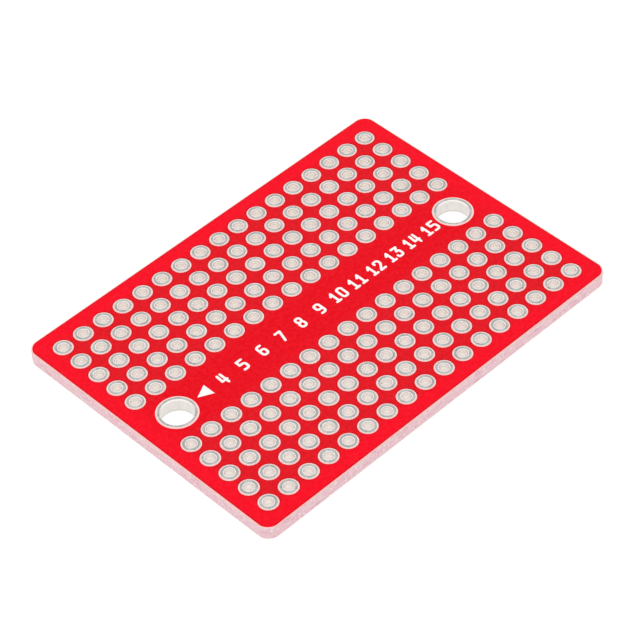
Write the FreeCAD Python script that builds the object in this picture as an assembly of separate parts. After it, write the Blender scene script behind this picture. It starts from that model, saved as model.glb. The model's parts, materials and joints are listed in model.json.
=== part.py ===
import FreeCAD, Part
import math
import os
import string

# A small solderable breadboard: a two-sided circuit board with strips of plated holes on both
# sides of a free channel. Sizes are in millimetres. X runs along the board's long side, Y across
# it, and Z up from the plane that the soldered underside rests on. The origin is below the middle.

# Board
BOARD_LENGTH = 45.72
BOARD_WIDTH = 33.02
CORNER_RADIUS = 1.27
LAMINATE_THICKNESS = 1.45

# Grid of plated holes: as many as fit between the margins
PITCH = 2.54
EDGE_MARGIN = 2.54
CHANNEL_PITCHES = 3
ROUNDING = 1e-6
HALF_TURN = 180

# Plated hole, with sizes over the finished solder coat
HOLE_RADIUS = 0.508
PAD_RADIUS = 0.889
BARREL_WALL = 0.025
KNEE_RADIUS = 0.05

# Mounting hole, with sizes over the finished solder coat
MOUNT_HOLE_RADIUS = 1.65
MOUNT_RING_WIDTH = 0.25
MOUNT_EDGE_DISTANCE = 4.318

# Thin layers and the bare gaps around them
COPPER_THICKNESS = 0.06
SOLDER_THICKNESS = 0.015
MASK_THICKNESS = 0.025
MASK_OVER_TRACE = 0.015
MASK_CLEARANCE = 0.102
MOUNT_MASK_CLEARANCE = 0.16
MASK_PULLBACK = 0.12
TRACE_WIDTH = 0.8

# Printed legend
LEGEND_THICKNESS = 0.015
LEGEND_LINE = 0.26
LEGEND_CLEARANCE = 0.25
DIGIT_WIDTH = 0.85
DIGIT_HEIGHT = 1.5
DIGIT_GAP = 0.17
DIGIT_ROUND = 0.24
MARK_LENGTH = 1.5

# Places worked out from the sizes above
COPPER_KNEE = min(KNEE_RADIUS, COPPER_THICKNESS)
LAMINATE_BOTTOM = COPPER_THICKNESS + max(SOLDER_THICKNESS, MASK_OVER_TRACE)
LAMINATE_TOP = LAMINATE_BOTTOM + LAMINATE_THICKNESS
MASK_TOP = LAMINATE_TOP + MASK_THICKNESS
COLUMNS = int((BOARD_LENGTH - 2 * EDGE_MARGIN) / PITCH + ROUNDING) + 1
BANK_WIDTH = (BOARD_WIDTH - 2 * EDGE_MARGIN - CHANNEL_PITCHES * PITCH) / 2
HOLES_PER_STRIP = int(BANK_WIDTH / PITCH + ROUNDING) + 1
INNER_ROW_Y = CHANNEL_PITCHES * PITCH / 2
OUTER_ROW_Y = INNER_ROW_Y + (HOLES_PER_STRIP - 1) * PITCH
PAD_OPENING_RADIUS = PAD_RADIUS + MASK_CLEARANCE
MOUNT_PAD_RADIUS = MOUNT_HOLE_RADIUS + MOUNT_RING_WIDTH
MOUNT_OPENING_RADIUS = MOUNT_PAD_RADIUS + MOUNT_MASK_CLEARANCE
MOUNT_X = BOARD_LENGTH / 2 - MOUNT_EDGE_DISTANCE

# Strokes of the legend's digits in a unit cell: points of x, y and whether the corner is round
ROUND = True
SHARP = False
OPEN_STROKES = {
    "1": [
        [(0.12, 0.74, SHARP), (0.55, 1, SHARP), (0.55, 0, SHARP)],
        [(0.12, 0, SHARP), (0.98, 0, SHARP)],
    ],
    "2": [
        [
            (0, 0.78, SHARP),
            (0, 1, ROUND),
            (1, 1, ROUND),
            (1, 0.6, ROUND),
            (0, 0, SHARP),
            (1, 0, SHARP),
        ]
    ],
    "3": [
        [
            (0, 1, SHARP),
            (1, 1, SHARP),
            (0.45, 0.58, SHARP),
            (1, 0.58, ROUND),
            (1, 0, ROUND),
            (0, 0, ROUND),
            (0, 0.2, SHARP),
        ]
    ],
    "4": [
        [(0.12, 1, SHARP), (0, 0.32, SHARP), (1, 0.32, SHARP)],
        [(0.78, 1, SHARP), (0.78, 0, SHARP)],
    ],
    "5": [
        [
            (1, 1, SHARP),
            (0, 1, SHARP),
            (0, 0.58, SHARP),
            (1, 0.58, ROUND),
            (1, 0, ROUND),
            (0, 0, SHARP),
        ]
    ],
    "6": [[(0.9, 1, SHARP), (0, 1, ROUND), (0, 0.3, SHARP)]],
    "7": [[(0, 1, SHARP), (1, 1, SHARP), (0.35, 0, SHARP)]],
    "9": [[(1, 0.7, SHARP), (1, 0, ROUND), (0.1, 0, SHARP)]],
}
# Closed loops of the digits: low x, low y, high x, high y in the same cell
LOOPS = {
    "0": [(0, 0, 1, 1)],
    "6": [(0, 0, 1, 0.56)],
    "8": [(0, 0, 1, 0.52), (0.04, 0.52, 0.96, 1)],
    "9": [(0, 0.44, 1, 1)],
}


def column_x(column):
    return (column - (COLUMNS - 1) / 2) * PITCH


def strip_hole_y(hole):
    """Y of a hole in the back bank, counted from the channel outwards."""
    return INNER_ROW_Y + hole * PITCH


def cylinder(radius, low, high, x=0.0, y=0.0):
    return Part.makeCylinder(radius, high - low, FreeCAD.Vector(x, y, low))


def fused(shapes):
    whole = shapes[0]
    if len(shapes) > 1:
        whole = whole.multiFuse(shapes[1:]).removeSplitter()
    return whole


def moved(shape, x, y):
    copy = shape.copy()
    copy.translate(FreeCAD.Vector(x, y, 0))
    return copy


def only_solid(shape):
    """The one solid that a boolean result must hold."""
    if len(shape.Solids) != 1:
        raise ValueError(f"expected one solid, found {len(shape.Solids)}")
    return shape.Solids[0]


def rounded_outline(length, width, radius, low, high):
    """A plate with rounded corners, centred on the origin in X and Y."""
    plate = Part.makeBox(
        length, width, high - low, FreeCAD.Vector(-length / 2, -width / 2, low)
    )
    upright = [e for e in plate.Edges if abs(e.tangentAt(e.FirstParameter).z) > 0.5]
    return plate.makeFillet(radius, upright)


def eyelet(bore, rim, height_above, knee):
    """A plated hole's coat: barrel and flange on both faces, solid from the bore outwards to the rim.

    height_above is how far the flanges stand off the laminate. The bore's mouths are rounded.
    """
    top = LAMINATE_TOP + height_above
    bottom = LAMINATE_BOTTOM - height_above
    turn = knee * (1 - math.sqrt(0.5))

    def at(radius, z):
        return FreeCAD.Vector(radius, 0, z)

    edges = [
        Part.makeLine(at(bore, bottom + knee), at(bore, top - knee)),
        Part.Arc(
            at(bore, top - knee), at(bore + turn, top - turn), at(bore + knee, top)
        ).toShape(),
        Part.makeLine(at(bore + knee, top), at(rim, top)),
        Part.makeLine(at(rim, top), at(rim, bottom)),
        Part.makeLine(at(rim, bottom), at(bore + knee, bottom)),
        Part.Arc(
            at(bore + knee, bottom), at(bore + turn, bottom + turn), at(bore, bottom + knee)
        ).toShape(),
    ]
    profile = Part.Face(Part.Wire(edges))
    return profile.revolve(FreeCAD.Vector(0, 0, 0), FreeCAD.Vector(0, 0, 1), 2 * HALF_TURN)


def laminate_hole_radius(finished_bore):
    return finished_bore + SOLDER_THICKNESS + BARREL_WALL


def outside_laminate(shape, laminate_hole, reach):
    """What is left of an eyelet once the laminate around its hole is taken out."""
    ring = cylinder(reach, LAMINATE_BOTTOM, LAMINATE_TOP)
    ring = ring.cut(cylinder(laminate_hole, LAMINATE_BOTTOM, LAMINATE_TOP))
    return shape.cut(ring)


def copper_eyelet(finished_bore, finished_rim):
    bore = finished_bore + SOLDER_THICKNESS
    rim = finished_rim - SOLDER_THICKNESS
    whole = eyelet(bore, rim, COPPER_THICKNESS, COPPER_KNEE)
    return only_solid(outside_laminate(whole, laminate_hole_radius(finished_bore), 2 * rim))


def coat_eyelet(finished_bore, finished_rim):
    """The finished outside of a plated hole, still solid where the copper goes."""
    height = COPPER_THICKNESS + SOLDER_THICKNESS
    whole = eyelet(finished_bore, finished_rim, height, COPPER_KNEE + SOLDER_THICKNESS)
    return outside_laminate(whole, laminate_hole_radius(finished_bore), 2 * finished_rim)


def bar(width, y_from, y_to, low, high):
    """A straight bar along Y, centred on X = 0."""
    corner = FreeCAD.Vector(-width / 2, min(y_from, y_to), low)
    return Part.makeBox(width, abs(y_to - y_from), high - low, corner)


def trace_start():
    """How far from a hole's centre a trace begins, inside the pad's ring."""
    return (laminate_hole_radius(HOLE_RADIUS) + PAD_RADIUS - SOLDER_THICKNESS) / 2


def trace_between(y_from, y_to):
    start = y_from + trace_start()
    end = y_to - trace_start()
    low = LAMINATE_BOTTOM - COPPER_THICKNESS
    return bar(TRACE_WIDTH, start, end, low, LAMINATE_BOTTOM)


def copper_strip():
    """One net of the back bank at X = 0: its plated holes and the traces that join them underneath."""
    places = [strip_hole_y(hole) for hole in range(HOLES_PER_STRIP)]
    pieces = [moved(copper_eyelet(HOLE_RADIUS, PAD_RADIUS), 0, y) for y in places]
    for y_from, y_to in zip(places, places[1:]):
        pieces.append(trace_between(y_from, y_to))
    return only_solid(fused(pieces))


def solder_coat(trace_sides):
    """Solder over one plated hole at the origin, and over the bare trace ends beside its pad.

    trace_sides holds +1 or -1 for each side in Y on which a trace leaves the pad.
    """
    coat = coat_eyelet(HOLE_RADIUS, PAD_RADIUS)
    metal = [copper_eyelet(HOLE_RADIUS, PAD_RADIUS)]
    copper_low = LAMINATE_BOTTOM - COPPER_THICKNESS
    opening = cylinder(PAD_OPENING_RADIUS, copper_low - SOLDER_THICKNESS, LAMINATE_BOTTOM)
    for side in trace_sides:
        start = side * trace_start()
        end = side * 2 * PAD_OPENING_RADIUS
        metal.append(bar(TRACE_WIDTH, start, end, copper_low, LAMINATE_BOTTOM))
        coated_width = TRACE_WIDTH + 2 * SOLDER_THICKNESS
        cover = bar(coated_width, start, end, copper_low - SOLDER_THICKNESS, LAMINATE_BOTTOM)
        coat = coat.fuse(cover.common(opening))
    return only_solid(coat.removeSplitter().cut(fused(metal)))


def row_coats(back_hole, bank):
    """The solder coats of one row. bank is +1 for the back bank and -1 for the front bank."""
    sides = []
    if back_hole > 0:
        sides.append(-bank)
    if back_hole < HOLES_PER_STRIP - 1:
        sides.append(bank)
    coat = solder_coat(sides)
    y = bank * strip_hole_y(back_hole)
    return Part.makeCompound([moved(coat, column_x(c), y) for c in range(COLUMNS)])


def mounting_sleeve():
    return copper_eyelet(MOUNT_HOLE_RADIUS, MOUNT_PAD_RADIUS)


def mounting_coat():
    coat = coat_eyelet(MOUNT_HOLE_RADIUS, MOUNT_PAD_RADIUS)
    return only_solid(coat.cut(mounting_sleeve()))


def all_hole_places():
    places = []
    for column in range(COLUMNS):
        for hole in range(HOLES_PER_STRIP):
            places.append((column_x(column), strip_hole_y(hole)))
            places.append((column_x(column), -strip_hole_y(hole)))
    return places


def hole_cutters(hole_radius, mount_radius, low, high):
    cutters = [cylinder(hole_radius, low, high, x, y) for x, y in all_hole_places()]
    for side in (-1, 1):
        cutters.append(cylinder(mount_radius, low, high, side * MOUNT_X))
    return Part.makeCompound(cutters)


def laminate():
    plate = rounded_outline(
        BOARD_LENGTH, BOARD_WIDTH, CORNER_RADIUS, LAMINATE_BOTTOM, LAMINATE_TOP
    )
    small = laminate_hole_radius(HOLE_RADIUS)
    large = laminate_hole_radius(MOUNT_HOLE_RADIUS)
    return only_solid(plate.cut(hole_cutters(small, large, LAMINATE_BOTTOM, LAMINATE_TOP)))


def mask_plate(low, high):
    length = BOARD_LENGTH - 2 * MASK_PULLBACK
    width = BOARD_WIDTH - 2 * MASK_PULLBACK
    return rounded_outline(length, width, CORNER_RADIUS - MASK_PULLBACK, low, high)


def top_mask():
    openings = hole_cutters(
        PAD_OPENING_RADIUS, MOUNT_OPENING_RADIUS, LAMINATE_TOP, MASK_TOP
    )
    return only_solid(mask_plate(LAMINATE_TOP, MASK_TOP).cut(openings))


def bottom_mask():
    """The underside's mask, raised where it runs over the traces between the holes of a strip."""
    copper_low = LAMINATE_BOTTOM - COPPER_THICKNESS
    ridge_low = copper_low - MASK_OVER_TRACE
    ridge_width = TRACE_WIDTH + 2 * MASK_OVER_TRACE
    ridges = []
    traces = []
    for column in range(COLUMNS):
        x = column_x(column)
        for near, far in ((INNER_ROW_Y, OUTER_ROW_Y), (-OUTER_ROW_Y, -INNER_ROW_Y)):
            ridge = bar(ridge_width, near, far, ridge_low, LAMINATE_BOTTOM)
            ridges.append(moved(ridge, x, 0))
            trace = bar(TRACE_WIDTH, near, far, copper_low, LAMINATE_BOTTOM)
            traces.append(moved(trace, x, 0))
    plate = mask_plate(LAMINATE_BOTTOM - MASK_THICKNESS, LAMINATE_BOTTOM)
    raised = fused([plate] + ridges)
    openings = hole_cutters(
        PAD_OPENING_RADIUS, MOUNT_OPENING_RADIUS, ridge_low, LAMINATE_BOTTOM
    )
    return only_solid(raised.cut(openings).cut(Part.makeCompound(traces)))


def rounded_path(points, closed):
    """A wire through the points, with the corners that are marked round replaced by arcs."""
    count = len(points)
    entries = []
    exits = []
    arcs = []
    for i, (here, is_round) in enumerate(points):
        inner = closed or 0 < i < count - 1
        if not (is_round and inner):
            entries.append(here)
            exits.append(here)
            arcs.append(None)
            continue
        before = points[i - 1][0] - here
        after = points[(i + 1) % count][0] - here
        half_turn = before.getAngle(after) / 2
        reach = min(DIGIT_ROUND / math.tan(half_turn), before.Length / 2, after.Length / 2)
        start = here + before.normalize() * reach
        end = here + after.normalize() * reach
        radius = reach * math.tan(half_turn)
        to_centre = (before + after).normalize()
        middle = here + to_centre * (radius / math.sin(half_turn) - radius)
        entries.append(start)
        exits.append(end)
        arcs.append(Part.Arc(start, middle, end).toShape())
    edges = []
    for i in range(count):
        if arcs[i]:
            edges.append(arcs[i])
        following = (i + 1) % count
        if following == 0 and not closed:
            break
        if exits[i].distanceToPoint(entries[following]) > ROUNDING:
            edges.append(Part.makeLine(exits[i], entries[following]))
    return Part.Wire(edges)


def in_cell(x, y):
    """A point of the unit cell in the digit's place, with its line's width kept inside the digit."""
    return FreeCAD.Vector(
        x * (DIGIT_WIDTH - LEGEND_LINE) - (DIGIT_WIDTH - LEGEND_LINE) / 2,
        y * (DIGIT_HEIGHT - LEGEND_LINE) - (DIGIT_HEIGHT - LEGEND_LINE) / 2,
        MASK_TOP,
    )


def inked(face):
    return face.extrude(FreeCAD.Vector(0, 0, LEGEND_THICKNESS))


def straight_stroke(start, end):
    """A straight printed line with round ends."""
    along = (end - start).normalize()
    across = FreeCAD.Vector(-along.y, along.x, 0) * (LEGEND_LINE / 2)
    cap = along * (LEGEND_LINE / 2)
    edges = [
        Part.makeLine(start + across, end + across),
        Part.Arc(end + across, end + cap, end - across).toShape(),
        Part.makeLine(end - across, start - across),
        Part.Arc(start - across, start - cap, start + across).toShape(),
    ]
    return inked(Part.Face(Part.Wire(edges)))


def bent_stroke(points):
    outline = rounded_path(points, closed=False).makeOffset2D(LEGEND_LINE / 2)
    return inked(Part.Face(outline))


def loop_stroke(low, high):
    corners = [low, FreeCAD.Vector(high.x, low.y, low.z), high, FreeCAD.Vector(low.x, high.y, low.z)]
    path = rounded_path([(corner, ROUND) for corner in corners], closed=True)
    outer = inked(Part.Face(path.makeOffset2D(LEGEND_LINE / 2)))
    inner = inked(Part.Face(path.makeOffset2D(-LEGEND_LINE / 2)))
    return outer.cut(inner)


def digit(name):
    strokes = []
    for stroke in OPEN_STROKES.get(name, []):
        points = [(in_cell(x, y), is_round) for x, y, is_round in stroke]
        if len(points) == 2:
            strokes.append(straight_stroke(points[0][0], points[1][0]))
        else:
            strokes.append(bent_stroke(points))
    for low_x, low_y, high_x, high_y in LOOPS.get(name, []):
        strokes.append(loop_stroke(in_cell(low_x, low_y), in_cell(high_x, high_y)))
    return only_solid(fused(strokes))


def end_mark():
    """A plain triangle that points to the board's first column."""
    points = [
        FreeCAD.Vector(-MARK_LENGTH / 2, 0, MASK_TOP),
        FreeCAD.Vector(MARK_LENGTH / 2, -DIGIT_HEIGHT / 2, MASK_TOP),
        FreeCAD.Vector(MARK_LENGTH / 2, DIGIT_HEIGHT / 2, MASK_TOP),
    ]
    return inked(Part.Face(Part.makePolygon(points + points[:1])))


def column_number(column):
    """The digits of a column's number, counted from 1, centred on the column in the channel."""
    text = str(column + 1)
    step = DIGIT_WIDTH + DIGIT_GAP
    first = column_x(column) - (len(text) - 1) * step / 2
    return [moved(digit(name), first + i * step, 0) for i, name in enumerate(text)]


def legend():
    """Column numbers along the channel between the mounting holes, after a mark at the low end."""
    half_label = DIGIT_WIDTH + DIGIT_GAP / 2
    limit = MOUNT_X - MOUNT_OPENING_RADIUS - LEGEND_CLEARANCE - half_label
    columns = [c for c in range(COLUMNS) if abs(column_x(c)) <= limit]
    solids = [moved(end_mark(), column_x(columns[0]), 0)]
    for column in columns[1:]:
        solids += column_number(column)
    return Part.makeCompound(solids)


def export(shape, name):
    shape.exportStep(f"parts/{name}.step")


def main():
    os.makedirs("parts", exist_ok=True)
    export(laminate(), "laminate_core")
    back = copper_strip()
    front = back.copy()
    front.rotate(FreeCAD.Vector(0, 0, 0), FreeCAD.Vector(0, 0, 1), HALF_TURN)
    for column in range(COLUMNS):
        x = column_x(column)
        number = f"{column + 1:02d}"
        export(moved(back, x, 0), f"back_strip_{number}")
        export(moved(front, x, 0), f"front_strip_{number}")
    letters = iter(string.ascii_lowercase)
    for hole in reversed(range(HOLES_PER_STRIP)):
        export(row_coats(hole, 1), f"hole_solder_row_{next(letters)}")
    for hole in range(HOLES_PER_STRIP):
        export(row_coats(hole, -1), f"hole_solder_row_{next(letters)}")
    for side, x in (("left", -MOUNT_X), ("right", MOUNT_X)):
        export(moved(mounting_sleeve(), x, 0), f"mounting_sleeve_{side}")
        export(moved(mounting_coat(), x, 0), f"hole_solder_mounting_{side}")
    export(top_mask(), "top_solder_mask")
    export(bottom_mask(), "bottom_solder_mask")
    export(legend(), "top_legend")


main()
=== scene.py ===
import json
import math
import random
from typing import NamedTuple

import bmesh
import bpy
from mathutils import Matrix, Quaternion, Vector, noise
from mathutils.geometry import tessellate_polygon


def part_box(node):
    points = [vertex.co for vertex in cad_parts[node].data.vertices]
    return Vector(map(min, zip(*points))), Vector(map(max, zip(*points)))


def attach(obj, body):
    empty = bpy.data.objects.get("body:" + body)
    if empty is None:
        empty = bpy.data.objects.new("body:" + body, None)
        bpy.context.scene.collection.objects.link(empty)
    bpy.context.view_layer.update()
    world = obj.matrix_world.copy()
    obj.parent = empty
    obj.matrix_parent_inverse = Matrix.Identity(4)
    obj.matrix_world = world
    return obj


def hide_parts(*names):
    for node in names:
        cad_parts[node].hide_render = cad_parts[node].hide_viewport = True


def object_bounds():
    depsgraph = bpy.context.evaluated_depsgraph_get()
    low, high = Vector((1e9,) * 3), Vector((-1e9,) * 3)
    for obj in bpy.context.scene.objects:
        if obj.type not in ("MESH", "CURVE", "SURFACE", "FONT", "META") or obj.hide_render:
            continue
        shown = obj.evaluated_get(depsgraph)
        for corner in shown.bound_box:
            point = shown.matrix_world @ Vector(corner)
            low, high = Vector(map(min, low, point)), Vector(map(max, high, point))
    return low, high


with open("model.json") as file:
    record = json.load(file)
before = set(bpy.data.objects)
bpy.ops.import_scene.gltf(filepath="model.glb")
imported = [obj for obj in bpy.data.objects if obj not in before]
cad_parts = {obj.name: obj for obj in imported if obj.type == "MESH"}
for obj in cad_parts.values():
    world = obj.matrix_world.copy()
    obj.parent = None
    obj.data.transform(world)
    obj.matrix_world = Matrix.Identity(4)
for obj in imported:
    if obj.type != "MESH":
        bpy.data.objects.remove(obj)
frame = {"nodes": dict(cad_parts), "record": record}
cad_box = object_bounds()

# The looks of a small red circuit board with 170 plated holes and two mounting holes.
# Lengths in this script are in millimetres in the CAD frame, and meshes are made in metres.
MM = 0.001


def in_mm(corner):
    return Vector(corner) / MM


def box_in_mm(node):
    low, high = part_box(node)
    return in_mm(low), in_mm(high)


# ---- Sizes read from the frame ----

LAMINATE_LOW, LAMINATE_HIGH = box_in_mm("laminate_core")
MASK_LOW, MASK_HIGH = box_in_mm("top_solder_mask")
NODE_NAMES = sorted(frame["nodes"])
BACK_STRIPS = [name for name in NODE_NAMES if name.startswith("back_strip")]
FRONT_STRIPS = [name for name in NODE_NAMES if name.startswith("front_strip")]
SOLDER_ROWS = [name for name in NODE_NAMES if name.startswith("hole_solder_row")]
HOLES_PER_STRIP = len(SOLDER_ROWS) // 2
MOUNT_X = {
    side: sum(corner.x for corner in box_in_mm(f"mounting_sleeve_{side}")) / 2
    for side in ("left", "right")
}
MOUNT_BORE = next(
    mount["dims"]["r_mm"] for mount in frame["record"]["mounts"] if mount["kind"] == "bore"
)


def strip_centres(node):
    """The hole centres of one strip, from its box: its width is a pad's, and its holes are even."""
    low, high = box_in_mm(node)
    pad = (high.x - low.x) / 2
    pitch = (high.y - low.y - 2 * pad) / (HOLES_PER_STRIP - 1)
    x = (low.x + high.x) / 2
    return [(x, low.y + pad + i * pitch) for i in range(HOLES_PER_STRIP)]


STRIP_CENTRES = {name: strip_centres(name) for name in BACK_STRIPS + FRONT_STRIPS}
PITCH = STRIP_CENTRES[BACK_STRIPS[1]][0][0] - STRIP_CENTRES[BACK_STRIPS[0]][0][0]
INNER_Y = STRIP_CENTRES[BACK_STRIPS[0]][0][1]
OUTER_Y = STRIP_CENTRES[BACK_STRIPS[0]][-1][1]
OUTER_X = STRIP_CENTRES[BACK_STRIPS[-1]][0][0]
COPPER_LOW, COPPER_HIGH = box_in_mm(BACK_STRIPS[0])
COPPER_PAD = (COPPER_HIGH.x - COPPER_LOW.x) / 2
PAD_LOW, PAD_HIGH = [in_mm(corner).z for corner in cad_box]
PAD_MIDDLE = (PAD_HIGH + PAD_LOW) / 2
SOLDER = PAD_HIGH - COPPER_HIGH.z
PAD_RIM = COPPER_PAD + SOLDER

# ---- Sizes that the frame doesn't give ----

HOLE_BORE = 0.508          # radius of a finished plated hole
BARREL_WALL = 0.025        # copper on a hole's wall
MASK_GAP = 0.102           # bare ring between a pad and the mask
MOUNT_RING = 0.25          # width of the solder ring round a mounting hole
MOUNT_MASK_GAP = 0.16      # bare ring between that one and the mask
BOARD_CORNER = 1.27
TRACE_WIDTH = 0.8
ARRIS = 0.035              # softening of the routed edge's corners
SHOULDER = 0.012           # rounding of a pad's outer edge
KNEE = 0.06                # rounding of the solder into a hole
CROWN = 0.007              # how far the middle of a ring stands above its edges
WALL_SWELL = 0.006         # growth of a hole's radius from its mouth to halfway down
UPPER_SWELL = 0.004        # its growth in the first part of that, down to four knees
RIDGE_ROUND = 0.012        # rounding of the ridge over a trace
MAX_TILT = 0.0035          # most that one side of a ring is lower than the other
RIPPLE_SHARE = 0.3         # height of a ring's three waves, as a share of its tilt
INK_EDGE = 0.005           # rounding of the printed marks

PAD_OPENING = PAD_RIM + MASK_GAP
MOUNT_RIM = MOUNT_BORE + MOUNT_RING
MOUNT_OPENING = MOUNT_RIM + MOUNT_MASK_GAP
MASK_CORNER = BOARD_CORNER - (LAMINATE_HIGH.x - MASK_HIGH.x)
LAMINATE_HOLE = HOLE_BORE + SOLDER + BARREL_WALL
MOUNT_LAMINATE_HOLE = MOUNT_BORE + SOLDER + BARREL_WALL

HOLE_SEGMENTS = 40
MOUNT_SEGMENTS = 112
CORNER_SEGMENTS = 20
EDGE_LEVELS = 14
CROWN_STEPS = 6
SIDE_STEP = 0.35


def row_centres():
    """Hole centres by solder row, from the back edge of the board to the front."""
    rows = []
    for strips in (BACK_STRIPS, FRONT_STRIPS):
        for i in reversed(range(HOLES_PER_STRIP)):
            rows.append([STRIP_CENTRES[name][i] for name in strips])
    return dict(zip(SOLDER_ROWS, rows))


# ---- Materials ----


class Nodes:
    """A material's node tree, with short calls for the nodes that this script uses."""

    def __init__(self, name):
        self.material = bpy.data.materials.new(name)
        self.material.use_nodes = True
        self.tree = self.material.node_tree
        self.shader = self.tree.nodes["Principled BSDF"]
        coordinates = self.add("ShaderNodeTexCoord")
        to_mm = self.add("ShaderNodeVectorMath", operation="SCALE")
        to_mm.inputs["Scale"].default_value = 1 / MM
        self.link(coordinates.outputs["Object"], to_mm.inputs[0])
        self.position = to_mm.outputs[0]
        split = self.add("ShaderNodeSeparateXYZ")
        self.link(self.position, split.inputs[0])
        self.x, self.y, self.z = split.outputs

    def add(self, kind, **settings):
        node = self.tree.nodes.new(kind)
        for name, value in settings.items():
            setattr(node, name, value)
        return node

    def link(self, source, target):
        self.tree.links.new(source, target)

    def feed(self, socket, value):
        """Links an output to the socket, or sets the socket to a plain value."""
        if isinstance(value, bpy.types.NodeSocket):
            self.link(value, socket)
        else:
            socket.default_value = value

    def math(self, operation, *values):
        node = self.add("ShaderNodeMath", operation=operation)
        for socket, value in zip(node.inputs, values):
            self.feed(socket, value)
        return node.outputs[0]

    def length(self, along, across):
        """The length of the line that goes so far along and so far across."""
        squares = [self.math("POWER", value, 2.0) for value in (along, across)]
        return self.math("SQRT", self.math("ADD", *squares))

    def fade(self, value, start, end):
        """0 at start and 1 at end, smooth between them."""
        node = self.add("ShaderNodeMapRange", interpolation_type="SMOOTHSTEP")
        self.feed(node.inputs["Value"], value)
        node.inputs["From Min"].default_value = start
        node.inputs["From Max"].default_value = end
        return node.outputs["Result"]

    def between(self, value, low, high):
        """Scales a 0..1 value to low..high."""
        node = self.add("ShaderNodeMapRange")
        self.feed(node.inputs["Value"], value)
        node.inputs["To Min"].default_value = low
        node.inputs["To Max"].default_value = high
        return node.outputs["Result"]

    def noise(self, per_mm, detail=2.0, roughness=0.5, stretch=(1.0, 1.0, 1.0)):
        """Noise from 0 to 1 with about per_mm features in a millimetre, times stretch on each axis."""
        mapping = self.add("ShaderNodeMapping")
        self.link(self.position, mapping.inputs["Vector"])
        mapping.inputs["Scale"].default_value = stretch
        node = self.add("ShaderNodeTexNoise")
        self.link(mapping.outputs[0], node.inputs["Vector"])
        node.inputs["Scale"].default_value = per_mm
        node.inputs["Detail"].default_value = detail
        node.inputs["Roughness"].default_value = roughness
        return node.outputs["Fac"]

    def mix(self, factor, one, other):
        """A colour mixed from two, each a plain colour or an output."""
        node = self.add("ShaderNodeMix", data_type="RGBA")
        self.feed(node.inputs["Factor"], factor)
        for socket, value in ((node.inputs[6], one), (node.inputs[7], other)):
            self.feed(socket, value if isinstance(value, bpy.types.NodeSocket) else (*value, 1.0))
        return node.outputs[2]

    def tint(self, colour, amount, strength, other):
        """The colour with the other one mixed in, by amount (0 to 1) times strength."""
        return self.mix(self.math("MULTIPLY", amount, strength), colour, other)

    def ramp(self, value, stops):
        """A colour ramp with (position, colour) stops."""
        node = self.add("ShaderNodeValToRGB")
        self.feed(node.inputs["Fac"], value)
        elements = node.color_ramp.elements
        while len(elements) < len(stops):
            elements.new(0.5)
        for element, (position, colour) in zip(elements, stops):
            element.position = position
            element.color = (*colour, 1.0)
        return node.outputs["Color"]

    def bump(self, height, depth_mm, strength):
        node = self.add("ShaderNodeBump")
        self.feed(node.inputs["Strength"], strength)
        node.inputs["Distance"].default_value = depth_mm * MM
        self.link(height, node.inputs["Height"])
        self.link(node.outputs["Normal"], self.shader.inputs["Normal"])

    def set(self, **values):
        """Sets the shader's sockets: names with _ for a space."""
        for name, value in values.items():
            self.feed(self.shader.inputs[name.replace("_", " ")], value)


def grid_distance(nodes):
    """Distance in the plane from the nearest hole centre."""
    along = nodes.math("ABSOLUTE", nodes.x)
    columns = nodes.math("ROUND", nodes.math("DIVIDE", nodes.math("SUBTRACT", OUTER_X, along), PITCH))
    columns = nodes.math("MAXIMUM", columns, 0.0)
    line_x = nodes.math("SUBTRACT", OUTER_X, nodes.math("MULTIPLY", columns, PITCH))
    across = nodes.math("ABSOLUTE", nodes.y)
    rows = nodes.math("ROUND", nodes.math("DIVIDE", nodes.math("SUBTRACT", across, INNER_Y), PITCH))
    rows = nodes.math("MINIMUM", nodes.math("MAXIMUM", rows, 0.0), HOLES_PER_STRIP - 1.0)
    line_y = nodes.math("ADD", INNER_Y, nodes.math("MULTIPLY", rows, PITCH))
    return nodes.length(nodes.math("SUBTRACT", along, line_x), nodes.math("SUBTRACT", across, line_y))


def mount_distance(nodes):
    """Distance in the plane from the nearer mounting hole's centre."""
    along = nodes.math("SUBTRACT", nodes.math("ABSOLUTE", nodes.x), MOUNT_X["right"])
    return nodes.length(along, nodes.y)


# Painted light and shade in the mask: a brighter red over the margins for light through the laminate's
# edges, darker reds in the channel and the banks for shade.
LIT_MARGIN_RED = (0.90, 0.0015, 0.016)
SHADED_CHANNEL_RED = (0.76, 0.0008, 0.009)
SHADED_BANK_RED = (0.70, 0.0065, 0.014)
# Dark red: painted shade round the openings and along the mask's edge, and also the random clouds in
# the lacquer.
SHADE_AND_CLOUD_RED = (0.50, 0.003, 0.008)
MOTTLE_RED = (0.92, 0.020, 0.030)

# Where the mask's reds change: painted light over the margins, painted shade in the channel and over
# the banks. The banks are the two blocks of holes, beside the channel.
CHANNEL_FROM_END = 0.3     # from the mask's end, where the channel's red starts
CHANNEL_INSIDE = 1.5       # in from the outer columns and the inner rows, where it is full
CHANNEL_REACH = 0.5        # how far into the banks it reaches
BANK_REACH = 1.3           # how far past the outer holes the banks' red reaches
BANK_INSIDE = 0.1          # in from the outer holes, where it is full
BANK_CHANNEL_REACH = 1.6   # how far into the channel it reaches
BANK_CHANNEL_FULL = 0.2    # before the inner rows, where it is full
OPENING_SHADE_REACH = 0.15          # painted shade round an opening
OPENING_SHADE_FULL = 0.03           # from the opening, where it is darkest
RIM_SHADE_REACH = 0.22           # painted shade along the mask's edge
RIM_SHADE_FULL = 0.06            # from the edge, where it is darkest


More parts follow.
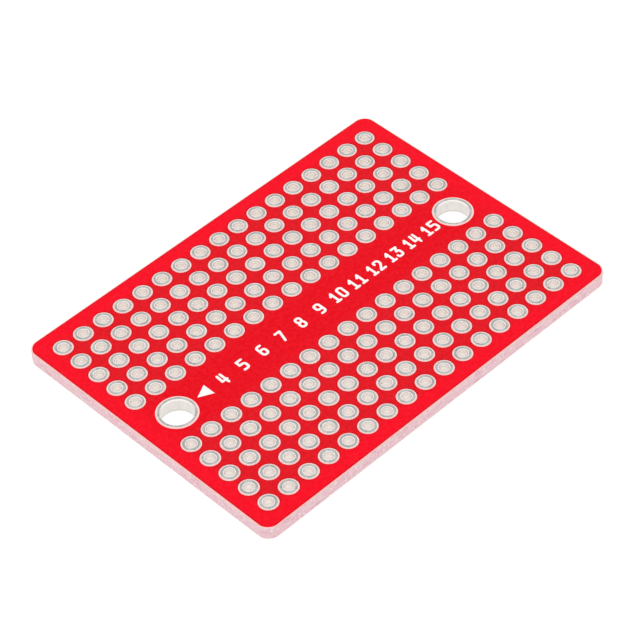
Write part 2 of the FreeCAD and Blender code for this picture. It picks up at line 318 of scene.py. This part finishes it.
def mask_material():
    """Glossy red lacquer: brighter over the bare margins as painted light, deeper in the channel and
    between the pads as painted shade, with painted shade round the openings and along the edge.
    """
    nodes = Nodes("solder_mask_red")
    across = nodes.math("ABSOLUTE", nodes.y)
    along = nodes.math("ABSOLUTE", nodes.x)
    # Painted shade in the channel and, below, over the banks of holes.
    off_ends = nodes.fade(along, MASK_HIGH.x - CHANNEL_FROM_END, OUTER_X - CHANNEL_INSIDE)
    off_banks = nodes.fade(across, INNER_Y + CHANNEL_REACH, INNER_Y - CHANNEL_INSIDE)
    channel_shade = nodes.math("MULTIPLY", off_ends, off_banks)
    colour = nodes.mix(channel_shade, LIT_MARGIN_RED, SHADED_CHANNEL_RED)
    inside_x = nodes.fade(along, OUTER_X + BANK_REACH, OUTER_X - BANK_INSIDE)
    past_channel = nodes.fade(across, INNER_Y - BANK_CHANNEL_REACH, INNER_Y - BANK_CHANNEL_FULL)
    inside_y = nodes.fade(across, OUTER_Y + BANK_REACH, OUTER_Y - BANK_INSIDE)
    bank_shade = nodes.math("MULTIPLY", nodes.math("MULTIPLY", inside_x, past_channel), inside_y)
    colour = nodes.mix(bank_shade, colour, SHADED_BANK_RED)
    # Painted shade round each pad's opening.
    opening_shade = nodes.fade(grid_distance(nodes), PAD_OPENING + OPENING_SHADE_REACH, PAD_OPENING + OPENING_SHADE_FULL)
    colour = nodes.tint(colour, opening_shade, 0.8, SHADE_AND_CLOUD_RED)
    # Painted shade along the mask's edge.
    rim_shade_x = nodes.fade(along, MASK_HIGH.x - RIM_SHADE_REACH, MASK_HIGH.x - RIM_SHADE_FULL)
    rim_shade_y = nodes.fade(across, MASK_HIGH.y - RIM_SHADE_REACH, MASK_HIGH.y - RIM_SHADE_FULL)
    colour = nodes.tint(colour, nodes.math("MAXIMUM", rim_shade_x, rim_shade_y), 0.6, SHADE_AND_CLOUD_RED)
    cloud = nodes.fade(nodes.noise(0.9, detail=3.0), 0.3, 0.75)
    colour = nodes.tint(colour, cloud, 0.12, SHADE_AND_CLOUD_RED)
    mottle = nodes.fade(nodes.noise(2.6, detail=4.0, roughness=0.7), 0.40, 0.62)
    colour = nodes.tint(colour, mottle, 0.32, MOTTLE_RED)
    nodes.set(Base_Color=colour, Roughness=nodes.between(nodes.noise(2.2), 0.26, 0.38))
    nodes.set(IOR=1.5, Specular_IOR_Level=0.06)
    nodes.bump(nodes.noise(1.6, detail=3.0, roughness=0.45), 0.006, 0.5)
    return nodes.material


# The routed edge's tones from the laminate's lower face, at 0, to its upper face, at 1: darker towards
# the lower face as painted shade, lighter towards the upper face as painted highlight.
EDGE_TONES_LIT_AND_SHADED = [
    (0.00, (0.70, 0.36, 0.41)),
    (0.10, (0.77, 0.44, 0.50)),
    (0.18, (0.79, 0.48, 0.54)),
    (0.55, (0.80, 0.48, 0.54)),
    (0.80, (0.81, 0.52, 0.57)),
    (0.97, (0.84, 0.56, 0.58)),
]
FIBRE_PINK = (0.88, 0.64, 0.67)
BLOTCH_TAN = (0.76, 0.60, 0.55)
DEEP_ROSE = (0.72, 0.35, 0.44)
PALE_SPECK = (0.93, 0.80, 0.80)
FACE_CREAM = (0.97, 0.68, 0.65)
# Painted shade: the darker, more orange strip of bare face along the board's edge.
FACE_RIM_SHADE = (0.95, 0.52, 0.47)
FACE_DEPTH = 0.03          # below the top face, where the edge's colour is full
FACE_FULL = 0.004          # below it, where the face's colour is full
FACE_RIM_SHADE_WIDTH = 0.2       # how far in from the mask's edge the face's painted rim shade starts


def laminate_material():
    """Glass-fibre laminate: cream face with a darker strip of painted shade along its rim, and a pink
    milled edge with plies and fibre ends, with painted shade towards its foot and a painted highlight
    towards its top.
    """
    nodes = Nodes("glass_fibre_laminate")
    thickness = LAMINATE_HIGH.z - LAMINATE_LOW.z
    height = nodes.math("DIVIDE", nodes.math("SUBTRACT", nodes.z, LAMINATE_LOW.z), thickness)
    wander = nodes.math("SUBTRACT", nodes.noise(0.9, stretch=(1, 1, 0)), 0.5)
    height = nodes.math("ADD", height, nodes.math("MULTIPLY", wander, 0.10))
    # The ramp gives the edge painted shade towards its foot and a painted highlight towards its top.
    edge = nodes.ramp(height, EDGE_TONES_LIT_AND_SHADED)
    fibres = nodes.noise(1.6, detail=4.0, roughness=0.65, stretch=(0.55, 0.55, 9.0))
    edge = nodes.tint(edge, nodes.fade(fibres, 0.42, 0.62), 0.75, FIBRE_PINK)
    blotch = nodes.noise(1.5, detail=4.0, roughness=0.65, stretch=(1, 1, 2.0))
    edge = nodes.tint(edge, nodes.fade(blotch, 0.52, 0.66), 0.75, BLOTCH_TAN)
    rose = nodes.noise(0.8, detail=3.0, roughness=0.6, stretch=(1, 1, 3.5))
    edge = nodes.tint(edge, nodes.fade(rose, 0.50, 0.68), 0.70, DEEP_ROSE)
    specks = nodes.noise(4.5, detail=2.0, stretch=(1, 1, 0.7))
    edge = nodes.tint(edge, nodes.fade(specks, 0.56, 0.68), 0.75, PALE_SPECK)
    face = nodes.fade(nodes.z, LAMINATE_HIGH.z - FACE_DEPTH, LAMINATE_HIGH.z - FACE_FULL)
    along = nodes.math("ABSOLUTE", nodes.x)
    across = nodes.math("ABSOLUTE", nodes.y)
    # Painted shade in a strip of bare face along the mask's edge.
    face_shade_x = nodes.fade(along, MASK_HIGH.x - FACE_RIM_SHADE_WIDTH, MASK_HIGH.x)
    face_shade_y = nodes.fade(across, MASK_HIGH.y - FACE_RIM_SHADE_WIDTH, MASK_HIGH.y)
    top = nodes.mix(nodes.math("MAXIMUM", face_shade_x, face_shade_y), FACE_CREAM, FACE_RIM_SHADE)
    nodes.set(Base_Color=nodes.mix(face, edge, top))
    nodes.set(Roughness=nodes.between(nodes.noise(5.0), 0.42, 0.60), IOR=1.52, Specular_IOR_Level=0.35)
    nodes.bump(nodes.noise(6.0, detail=4.0, stretch=(1, 1, 1.6)), 0.012, 0.5)
    return nodes.material


class HoleFinish(NamedTuple):
    """How the solder looks round one kind of hole."""

    bore: float            # radius of the finished hole
    rim: float             # radius of the ring
    mouth: float           # width of the painted highlight where the ring rounds into the hole
    lip: float             # width of the painted highlight at the rim
    highlight_depth: float            # depth at which the painted highlight has faded into the wall's colour
    wall: tuple            # colour of the wall
    waist_darkening: float            # from 0 to 1, how much darker a narrow hole's wall is round its middle depth


PAD_FINISH = HoleFinish(
    bore=HOLE_BORE, rim=PAD_RIM, mouth=0.11, lip=0.055, highlight_depth=0.80, wall=(0.985, 0.88, 0.825), waist_darkening=0.8
)
MOUNT_FINISH = HoleFinish(
    bore=MOUNT_BORE, rim=MOUNT_RIM, mouth=0.03, lip=0.02, highlight_depth=0.35, wall=(0.77, 0.715, 0.68), waist_darkening=0.0
)

RING_GREY = (0.60, 0.61, 0.585)
RING_PALE = (0.90, 0.87, 0.83)
RING_DENT = (0.38, 0.40, 0.385)
# Colours of the painted highlights at the mouth, the rim and the top of the wall.
HIGHLIGHT_WARM = (0.99, 0.955, 0.92)
HIGHLIGHT_WHITE = (1.0, 0.985, 0.97)
FOOT_SHADE_GREY = (0.58, 0.55, 0.52)
HIGHLIGHT_FADE_START = 0.12          # depth at which the painted highlight starts to fade
WAIST_DEPTH = 0.95         # depth of the middle of the darker band
WAIST_REACH = 0.26         # from its middle to where it ends
WAIST_FULL = 0.10          # from its middle to where it starts to fade
FOOT_SHADE_REACH = 0.24          # height of the painted shade at the foot of a hole's wall
FOOT_SHADE_FULL = 0.08           # height below which it is full
WALL_REACH = 0.03          # from the bore, where the ring's finish changes into the wall's
WALL_FULL = 0.012          # from the bore, where the change is complete


def solder_material(name, distance_from, finish):
    """Levelled solder: satin metal on the ring, with painted highlights as pale bands where it rounds
    over its two edges and down the top of the hole.
    """
    nodes = Nodes(name)
    distance = distance_from(nodes)
    # Painted highlights: pale bands where the ring rounds into the hole and over its rim.
    mouth_highlight = nodes.fade(distance, finish.bore + finish.mouth, finish.bore + finish.mouth * 0.45)
    outer = nodes.fade(distance, finish.rim - finish.lip, finish.rim - finish.lip * 0.3)
    highlight = nodes.math("MAXIMUM", mouth_highlight, outer)
    # The painted highlight runs down the top of the wall and fades into the wall's colour with depth.
    deep = nodes.fade(nodes.z, PAD_HIGH - HIGHLIGHT_FADE_START, PAD_HIGH - finish.highlight_depth)
    patches = nodes.noise(1.1, detail=4.0, roughness=0.65)
    ring = nodes.mix(nodes.fade(patches, 0.36, 0.64), RING_GREY, RING_PALE)
    dents = nodes.fade(nodes.noise(2.2, detail=2.0), 0.56, 0.70)
    ring = nodes.tint(ring, dents, 0.65, RING_DENT)
    edge = nodes.mix(nodes.noise(3.0), HIGHLIGHT_WARM, HIGHLIGHT_WHITE)
    streaks = nodes.noise(2.4, detail=4.0, roughness=0.6, stretch=(1, 1, 0.35))
    paler = [1 - (1 - level) * 0.75 for level in finish.wall]
    wall = nodes.mix(nodes.fade(streaks, 0.34, 0.70), finish.wall, paler)
    # The wall is darker round its middle depth.
    waist = nodes.math("ABSOLUTE", nodes.math("SUBTRACT", nodes.z, PAD_HIGH - WAIST_DEPTH))
    darker_wall = [level * 0.86 for level in finish.wall]
    wall = nodes.tint(wall, nodes.fade(waist, WAIST_REACH, WAIST_FULL), finish.waist_darkening, darker_wall)
    # Painted shade at the foot of the wall, next to the table.
    foot_shade = nodes.fade(nodes.z, PAD_LOW + FOOT_SHADE_REACH, PAD_LOW + FOOT_SHADE_FULL)
    wall = nodes.tint(wall, foot_shade, 0.5, FOOT_SHADE_GREY)
    nodes.set(Base_Color=nodes.mix(highlight, ring, nodes.mix(deep, edge, wall)))
    inside = nodes.fade(distance, finish.bore + WALL_REACH, finish.bore + WALL_FULL)
    # The painted highlights are almost not metallic, so they stay pale.
    metal = nodes.math("MAXIMUM", nodes.between(highlight, 1.0, 0.1), nodes.math("MULTIPLY", inside, 0.85))
    rough = nodes.between(nodes.noise(7.0, detail=3.0), 0.22, 0.42)
    polish = nodes.between(inside, 1.0, 0.5)
    nodes.set(Metallic=metal, Roughness=nodes.math("MULTIPLY", rough, polish))
    nodes.bump(nodes.noise(5.0, detail=3.0, roughness=0.6), 0.008, nodes.between(inside, 0.5, 0.06))
    return nodes.material


COPPER_DEEP = (0.72, 0.40, 0.27)
COPPER_PALE = (0.80, 0.48, 0.34)


def copper_material():
    nodes = Nodes("plated_copper")
    tone = nodes.fade(nodes.noise(3.0, detail=3.0), 0.35, 0.65)
    nodes.set(Base_Color=nodes.mix(tone, COPPER_DEEP, COPPER_PALE))
    nodes.set(Metallic=1.0, Roughness=nodes.between(nodes.noise(8.0), 0.28, 0.45))
    nodes.bump(nodes.noise(12.0), 0.003, 0.5)
    return nodes.material


INK_WHITE = (0.93, 0.92, 0.91)
INK_THIN = (0.90, 0.80, 0.79)


def legend_material():
    """Matt white printed ink with faint mesh texture, thinner in places."""
    nodes = Nodes("printed_ink_white")
    thin = nodes.math("MULTIPLY", nodes.fade(nodes.noise(4.5, detail=3.0), 0.45, 0.75), 0.5)
    nodes.set(Base_Color=nodes.mix(thin, INK_WHITE, INK_THIN))
    nodes.set(Roughness=nodes.between(nodes.noise(6.0), 0.5, 0.65), Specular_IOR_Level=0.3)
    nodes.bump(nodes.noise(14.0), 0.003, 0.5)
    return nodes.material


# ---- Meshes ----


def circle(x, y, radius, segments):
    """A hole's outline as a function of how far its edge is cut back. It is the same at any height."""

    def points(inset, _height):
        reach = radius + inset
        turns = [2 * math.pi * i / segments for i in range(segments)]
        return [(x + reach * math.cos(turn), y + reach * math.sin(turn)) for turn in turns]

    return points


def rounded_rectangle(half_x, half_y, corner, waver=None):
    """A plate's outline as a function of how far its edge is cut back, and of the height.

    Each point lies outward from an anchor, which is a corner's centre or is on the straight line
    between two of them. waver gives extra inset at a point.
    """
    x = half_x - corner
    y = half_y - corner
    centres = [Vector((x, y)), Vector((-x, y)), Vector((-x, -y)), Vector((x, -y))]
    anchors = []
    for quarter, centre in enumerate(centres):
        following = centres[(quarter + 1) % len(centres)]
        turn = quarter * math.pi / 2
        for i in range(CORNER_SEGMENTS + 1):
            anchors.append((centre, turn + math.pi / 2 * i / CORNER_SEGMENTS))
        count = max(int((following - centre).length / SIDE_STEP), 1)
        for i in range(1, count):
            anchors.append((centre.lerp(following, i / count), turn + math.pi / 2))

    def points(inset, height):
        outline = []
        for anchor, angle in anchors:
            outward = Vector((math.cos(angle), math.sin(angle)))
            point = anchor + outward * (corner - inset)
            if waver:
                point -= outward * waver(point.x, point.y, height)
            outline.append((point.x, point.y))
        return outline

    return points


def is_level(face):
    return abs(face.normal.z) > 0.999


def as_object(name, mesh, material):
    mesh.materials.append(material)
    piece = bpy.data.objects.new(name, mesh)
    bpy.context.scene.collection.objects.link(piece)
    return piece


def finished(name, verts, faces, material, flat_caps=False):
    """An object from millimetre points and faces, with its normals put right and smooth sides."""
    mesh = bpy.data.meshes.new(name)
    mesh.from_pydata([(x * MM, y * MM, z * MM) for x, y, z in verts], [], faces)
    work = bmesh.new()
    work.from_mesh(mesh)
    bmesh.ops.recalc_face_normals(work, faces=work.faces)
    for face in work.faces:
        face.smooth = not (flat_caps and is_level(face))
    work.to_mesh(mesh)
    work.free()
    return as_object(name, mesh, material)


def cap(rings, verts, faces):
    """Fills a flat face between an outer ring and hole rings. Each ring is a range of vertices."""
    outlines = [[Vector(verts[i]) for i in ring] for ring in rings]
    flat = [i for ring in rings for i in ring]
    for corners in tessellate_polygon(outlines):
        faces.append([flat[c] for c in corners])


def plate(name, loops, profile, material):
    """A closed flat plate with holes. loops holds outlines, and profile (inset, z) from rim to rim."""
    verts, faces = [], []
    first_rings, last_rings = [], []
    for loop in loops:
        rings = []
        for inset, z in profile:
            points = loop(inset, z)
            rings.append(range(len(verts), len(verts) + len(points)))
            verts += [(x, y, z) for x, y in points]
        for lower, upper in zip(rings, rings[1:]):
            count = len(lower)
            for i in range(count):
                j = (i + 1) % count
                faces.append((lower[i], lower[j], upper[j], upper[i]))
        first_rings.append(rings[0])
        last_rings.append(rings[-1])
    cap(first_rings, verts, faces)
    cap(last_rings, verts, faces)
    return finished(name, verts, faces, material, flat_caps=True)


def hole_loops(small, large):
    loops = []
    for centres in STRIP_CENTRES.values():
        loops += [circle(x, y, small, HOLE_SEGMENTS) for x, y in centres]
    loops += [circle(x, 0, large, MOUNT_SEGMENTS) for x in MOUNT_X.values()]
    return loops


MILLING_DEPTH = 0.006
MARKS_ALONG = 2.3          # cutter marks in a millimetre along the edge
MARKS_UP = 0.6             # and up it
PLY = 0.18
PLY_SHARE = 0.35           # depth of the plies, as a share of the milling depth
# A rounded edge's middle lies about this share of its radius in from each of its two faces.
ROUND_MIDDLE = 0.3
MASK_LIP = 0.4             # rounding of the mask's openings, as a share of its thickness
MASK_WALL_LEAN = 0.002


def milled(x, y, z):
    """How far the routed edge lies inside the nominal outline: shallow cutter marks and plies."""
    marks = noise.noise(Vector((x * MARKS_ALONG, y * MARKS_ALONG, z * MARKS_UP)))
    plies = math.sin(z * 2 * math.pi / PLY) * PLY_SHARE
    return MILLING_DEPTH * max(0.0, 0.8 + marks + plies)


def laminate_piece(material):
    low, high = LAMINATE_LOW.z, LAMINATE_HIGH.z
    middle = ARRIS * ROUND_MIDDLE
    profile = [(ARRIS, low), (middle, low + middle), (0, low + ARRIS)]
    for i in range(1, EDGE_LEVELS):
        profile.append((0, low + ARRIS + (high - low - 2 * ARRIS) * i / EDGE_LEVELS))
    profile += [(0, high - ARRIS), (middle, high - middle), (ARRIS, high)]
    outer = rounded_rectangle(LAMINATE_HIGH.x, LAMINATE_HIGH.y, BOARD_CORNER, waver=milled)
    loops = [outer] + hole_loops(LAMINATE_HOLE, MOUNT_LAMINATE_HOLE)
    return plate("laminate_board", loops, profile, material)


def mask_profile(attached, free):
    """From the face on the laminate to the free face, with a rounded lip at the free face."""
    lip = MASK_LIP * (free - attached)
    return [
        (0.0, attached),
        (MASK_WALL_LEAN, free - lip),
        (ROUND_MIDDLE * abs(lip), free - ROUND_MIDDLE * lip),
        (0.8 * abs(lip), free),
    ]


def mask_plate(name, attached, free, material):
    outer = rounded_rectangle(MASK_HIGH.x, MASK_HIGH.y, MASK_CORNER)
    loops = [outer] + hole_loops(PAD_OPENING, MOUNT_OPENING)
    return plate(name, loops, mask_profile(attached, free), material)


def arc_points(centre_u, centre_v, radius, start, end, steps):
    """Points on an arc of a section, with the angles in degrees."""
    points = []
    for i in range(steps + 1):
        angle = math.radians(start + (end - start) * i / steps)
        points.append((centre_u + radius * math.cos(angle), centre_v + radius * math.sin(angle)))
    return points


def eyelet_section(bore, rim):
    """One eyelet's section as (radius, z), in two runs: the skin that shows, and the back of it.

    The skin is a crowned flange, a rounded mouth and half the barrel, and the same again below.
    """
    flange_in = bore + KNEE
    flange_out = rim - SHOULDER
    level = PAD_HIGH - CROWN
    upper = [(rim, LAMINATE_HIGH.z)]
    upper += arc_points(flange_out, level - SHOULDER, SHOULDER, 0, 90, 3)
    for i in range(1, CROWN_STEPS):
        share = i / CROWN_STEPS
        rise = CROWN * (1 - (2 * share - 1) ** 2)
        upper.append((flange_out + (flange_in - flange_out) * share, level + rise))
    upper += arc_points(flange_in, level - KNEE, KNEE, 90, 180, 5)
    upper.append((bore + UPPER_SWELL, level - 4 * KNEE))
    lower = [(radius, 2 * PAD_MIDDLE - z) for radius, z in reversed(upper)]
    skin = upper + [(bore + WALL_SWELL, PAD_MIDDLE)] + lower
    back_bore = bore + SOLDER
    back_rim = rim - SOLDER
    back = [
        (back_rim, LAMINATE_LOW.z),
        (back_rim, COPPER_LOW.z),
        (back_bore, COPPER_LOW.z),
        (back_bore, COPPER_HIGH.z),
        (back_rim, COPPER_HIGH.z),
        (back_rim, LAMINATE_HIGH.z),
    ]
    return skin, back


def sunk(z, drop):
    """A height on the skin, moved by drop towards the laminate where it is beyond its faces."""
    height = z - PAD_MIDDLE
    hair = 1e-9
    if abs(height) > LAMINATE_HIGH.z - PAD_MIDDLE + hair:
        return z - math.copysign(drop, height)
    return z


def add_eyelet(x, y, skin, back, segments, draw, verts, faces):
    """One solder eyelet, a closed ring. draw is seeded and gives each eyelet its own slight tilt."""
    tilt = draw.uniform(0.0, MAX_TILT)
    phase = draw.uniform(0, 2 * math.pi)
    first = len(verts)
    for i in range(segments):
        turn = 2 * math.pi * i / segments
        lean = (1 + math.cos(turn - phase)) / 2
        ripple = (1 + math.sin(3 * turn + phase)) / 2
        drop = tilt * (lean + RIPPLE_SHARE * ripple)
        section = [(radius, sunk(z, drop)) for radius, z in skin] + back
        for radius, z in section:
            verts.append((x + radius * math.cos(turn), y + radius * math.sin(turn), z))
    count = len(skin) + len(back)
    for i in range(segments):
        here = first + i * count
        there = first + (i + 1) % segments * count
        for j in range(count):
            k = (j + 1) % count
            faces.append((here + j, there + j, there + k, here + k))


def eyelets(name, centres, bore, rim, segments):
    verts, faces = [], []
    draw = random.Random(name)
    skin, back = eyelet_section(bore, rim)
    for x, y in centres:
        add_eyelet(x, y, skin, back, segments, draw, verts, faces)
    return verts, faces


def add_ridge(x, y_from, y_to, low, high, verts, faces):
    """A low ridge along Y under the board, square enough to hold a trace, with its edges rounded."""
    half = TRACE_WIDTH / 2 + SOLDER
    centre_z = low + RIDGE_ROUND
    section = [(x - half, high)]
    section += arc_points(x - half + RIDGE_ROUND, centre_z, RIDGE_ROUND, 180, 270, 4)
    section += arc_points(x + half - RIDGE_ROUND, centre_z, RIDGE_ROUND, 270, 360, 4)
    section.append((x + half, high))
    first = len(verts)
    for y in (y_from, y_to):
        verts.extend((across, y, z) for across, z in section)
    count = len(section)
    for i in range(count - 1):
        faces.append((first + i, first + i + 1, first + count + i + 1, first + count + i))
    faces.append([first + i for i in range(count)])
    faces.append([first + count + i for i in range(count)])
    faces.append((first, first + count - 1, first + 2 * count - 1, first + count))


TRACE_END_LAP = 0.06       # how far the solder on a trace's end runs in under its pad's rim
TRACE_END_GAP = 0.004      # between that solder and the mask, and above the pads' lowest level


def has_row(y):
    """Whether a row of holes lies at y, when y is a whole number of pitches from another row."""
    slack = 0.1
    return INNER_Y - slack < abs(y) < OUTER_Y + slack


def solder_row(node, centres, material):
    """One row's eyelets and the solder over the bare trace ends beside their lower pads."""
    verts, faces = eyelets(node, centres, HOLE_BORE, PAD_RIM, HOLE_SEGMENTS)
    y = centres[0][1]
    for side in (-1, 1):
        if not has_row(y + side * PITCH):
            continue
        ends = (y + side * (PAD_RIM - TRACE_END_LAP), y + side * (PAD_OPENING - TRACE_END_GAP))
        for x, _ in centres:
            add_ridge(x, min(ends), max(ends), PAD_LOW + TRACE_END_GAP, LAMINATE_LOW.z, verts, faces)
    return finished(f"{node}_finish", verts, faces, material)


MASK_OVER_TRACE = 0.001    # how far the ridges stay above the pads' lowest level
RIDGE_ROOT = 0.01          # how far the ridges reach into the mask's sheet


def bottom_mask_pieces(material):
    """The underside's lacquer, and the rounded ridge in it over each trace between two holes."""
    free = LAMINATE_LOW.z - (MASK_HIGH.z - MASK_LOW.z)
    sheet = mask_plate("bottom_mask_lacquer", LAMINATE_LOW.z, free, material)
    verts, faces = [], []
    low = PAD_LOW + MASK_OVER_TRACE
    for centres in STRIP_CENTRES.values():
        for (x, y), (_, following) in zip(centres, centres[1:]):
            add_ridge(x, y + PAD_OPENING, following - PAD_OPENING, low, free + RIDGE_ROOT, verts, faces)
    ridges = finished("bottom_mask_ridges", verts, faces, material)
    return sheet, ridges


WELD = 1e-7                # distance in metres within which two points are one


def softened_legend(material):
    """The printed marks with their top edges rounded, as thick ink dries."""
    node = frame["nodes"]["top_legend"]
    work = bmesh.new()
    work.from_mesh(node.data)
    bmesh.ops.remove_doubles(work, verts=work.verts, dist=WELD)
    bmesh.ops.dissolve_limit(work, angle_limit=math.radians(0.5), verts=work.verts, edges=work.edges)
    top = max(vert.co.z for vert in work.verts)
    rim = [edge for edge in work.edges if all(abs(vert.co.z - top) < WELD for vert in edge.verts)]
    bmesh.ops.bevel(work, geom=rim, offset=INK_EDGE * MM, segments=3, affect="EDGES", profile=0.5)
    bmesh.ops.triangulate(work, faces=work.faces)
    for face in work.faces:
        face.smooth = not is_level(face)
    mesh = bpy.data.meshes.new("legend_ink")
    work.to_mesh(mesh)
    work.free()
    return as_object("legend_ink", mesh, material)


# ---- The object ----


def place(piece, node):
    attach(piece, "root")
    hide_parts(node)


def wear(node, material):
    for slot in node.material_slots:
        slot.material = material


def build_laminate_and_mask():
    mask = mask_material()
    place(laminate_piece(laminate_material()), "laminate_core")
    place(mask_plate("top_mask_lacquer", MASK_LOW.z, MASK_HIGH.z, mask), "top_solder_mask")
    for piece in bottom_mask_pieces(mask):
        place(piece, "bottom_solder_mask")


def build_solder():
    pad_solder = solder_material("levelled_solder", grid_distance, PAD_FINISH)
    for node, centres in row_centres().items():
        place(solder_row(node, centres, pad_solder), node)
    mount_solder = solder_material("levelled_solder_mounting", mount_distance, MOUNT_FINISH)
    for side, x in MOUNT_X.items():
        node = f"hole_solder_mounting_{side}"
        verts, faces = eyelets(node, [(x, 0.0)], MOUNT_BORE, MOUNT_RIM, MOUNT_SEGMENTS)
        place(finished(f"{node}_finish", verts, faces, mount_solder), node)


def dress_copper():
    copper = copper_material()
    for name, node in frame["nodes"].items():
        if name.startswith(("back_strip", "front_strip", "mounting_sleeve")):
            wear(node, copper)


# ---- The stage ----

CAMERA_AZIMUTH = math.radians(-42.93)
CAMERA_ELEVATION = math.radians(45.47)
CAMERA_DISTANCE = 270.1
CAMERA_TARGET = Vector((-1.081, -1.148, 1.6))
CAMERA_ROLL = math.radians(-2.632)
CAMERA_LENS = 159.75
CAMERA_SENSOR = 36.0
CAMERA_NEAR = 10.0
CAMERA_FAR = 20000.0

TABLE_HALF = 900.0
TABLE_Z = -0.02
TABLE_GREY = (0.22, 0.22, 0.22, 1.0)
TABLE_GLOW = (1.0, 0.998, 0.99, 1.0)
TABLE_GLOW_STRENGTH = 0.85

HORIZON_WHITE = (1.0, 1.0, 1.0, 1.0)
OVERHEAD_GREY = (0.62, 0.62, 0.63, 1.0)
# Brightness of the surroundings between the horizon, at 0, and straight overhead, at 1.
SKY_LEVELS = ((0.30, 0.95), (0.60, 0.66))

LAMP_PLACE = Vector((-40.0, 20.0, 420.0))
LAMP_SIZE = 300.0
LAMP_WATTS = 0.75


def build_camera():
    flat = math.cos(CAMERA_ELEVATION)
    back = Vector(
        (
            math.sin(CAMERA_AZIMUTH) * flat,
            -math.cos(CAMERA_AZIMUTH) * flat,
            math.sin(CAMERA_ELEVATION),
        )
    )
    data = bpy.data.cameras.new("photo_camera")
    data.lens = CAMERA_LENS
    data.sensor_width = CAMERA_SENSOR
    data.clip_start = CAMERA_NEAR * MM
    data.clip_end = CAMERA_FAR * MM
    camera = bpy.data.objects.new("photo_camera", data)
    camera.location = (CAMERA_TARGET + back * CAMERA_DISTANCE) * MM
    camera.rotation_mode = "QUATERNION"
    camera.rotation_quaternion = Quaternion(back, CAMERA_ROLL) @ (-back).to_track_quat("-Z", "Y")
    bpy.context.scene.collection.objects.link(camera)
    bpy.context.scene.camera = camera


def floor_material():
    """A pale table that is lit from within, as product photographs are taken on."""
    material = bpy.data.materials.new("pale_table")
    material.use_nodes = True
    shader = material.node_tree.nodes["Principled BSDF"]
    shader.inputs["Base Color"].default_value = TABLE_GREY
    shader.inputs["Roughness"].default_value = 0.9
    shader.inputs["Specular IOR Level"].default_value = 0.0
    shader.inputs["Emission Color"].default_value = TABLE_GLOW
    shader.inputs["Emission Strength"].default_value = TABLE_GLOW_STRENGTH
    return material


def build_floor():
    signs = ((-1, -1), (1, -1), (1, 1), (-1, 1))
    corners = [(x * TABLE_HALF, y * TABLE_HALF, TABLE_Z) for x, y in signs]
    floor = finished("studio_table", corners, [(0, 1, 2, 3)], floor_material())


def build_world():
    """Soft white surroundings: brightest at the horizon, dimmer overhead."""
    world = bpy.data.worlds.new("studio")
    bpy.context.scene.world = world
    world.use_nodes = True
    tree = world.node_tree
    coordinates = tree.nodes.new("ShaderNodeTexCoord")
    split = tree.nodes.new("ShaderNodeSeparateXYZ")
    ramp = tree.nodes.new("ShaderNodeValToRGB")
    background = tree.nodes["Background"]
    tree.links.new(coordinates.outputs["Generated"], split.inputs[0])
    tree.links.new(split.outputs["Z"], ramp.inputs["Fac"])
    tree.links.new(ramp.outputs["Color"], background.inputs["Color"])
    stops = ramp.color_ramp.elements
    stops[0].color = HORIZON_WHITE
    stops[1].color = OVERHEAD_GREY
    for position, level in SKY_LEVELS:
        stop = stops.new(position)
        stop.color = (level, level, level, 1.0)
    background.inputs["Strength"].default_value = 1.0


def build_lamp():
    """One large overhead lamp. Hidden from glossy rays, it leaves no white discs on the solder."""
    data = bpy.data.lights.new("overhead_softbox", "AREA")
    data.shape = "DISK"
    data.size = LAMP_SIZE * MM
    data.energy = LAMP_WATTS
    lamp = bpy.data.objects.new("overhead_softbox", data)
    lamp.location = LAMP_PLACE * MM
    lamp.rotation_mode = "QUATERNION"
    lamp.rotation_quaternion = (-LAMP_PLACE).to_track_quat("-Z", "Y")
    lamp.visible_glossy = False
    bpy.context.scene.collection.objects.link(lamp)


build_laminate_and_mask()
build_solder()
dress_copper()
place(softened_legend(legend_material()), "top_legend")
build_camera()
build_floor()
build_world()
build_lamp()
bpy.context.scene.view_settings.view_transform = "Standard"
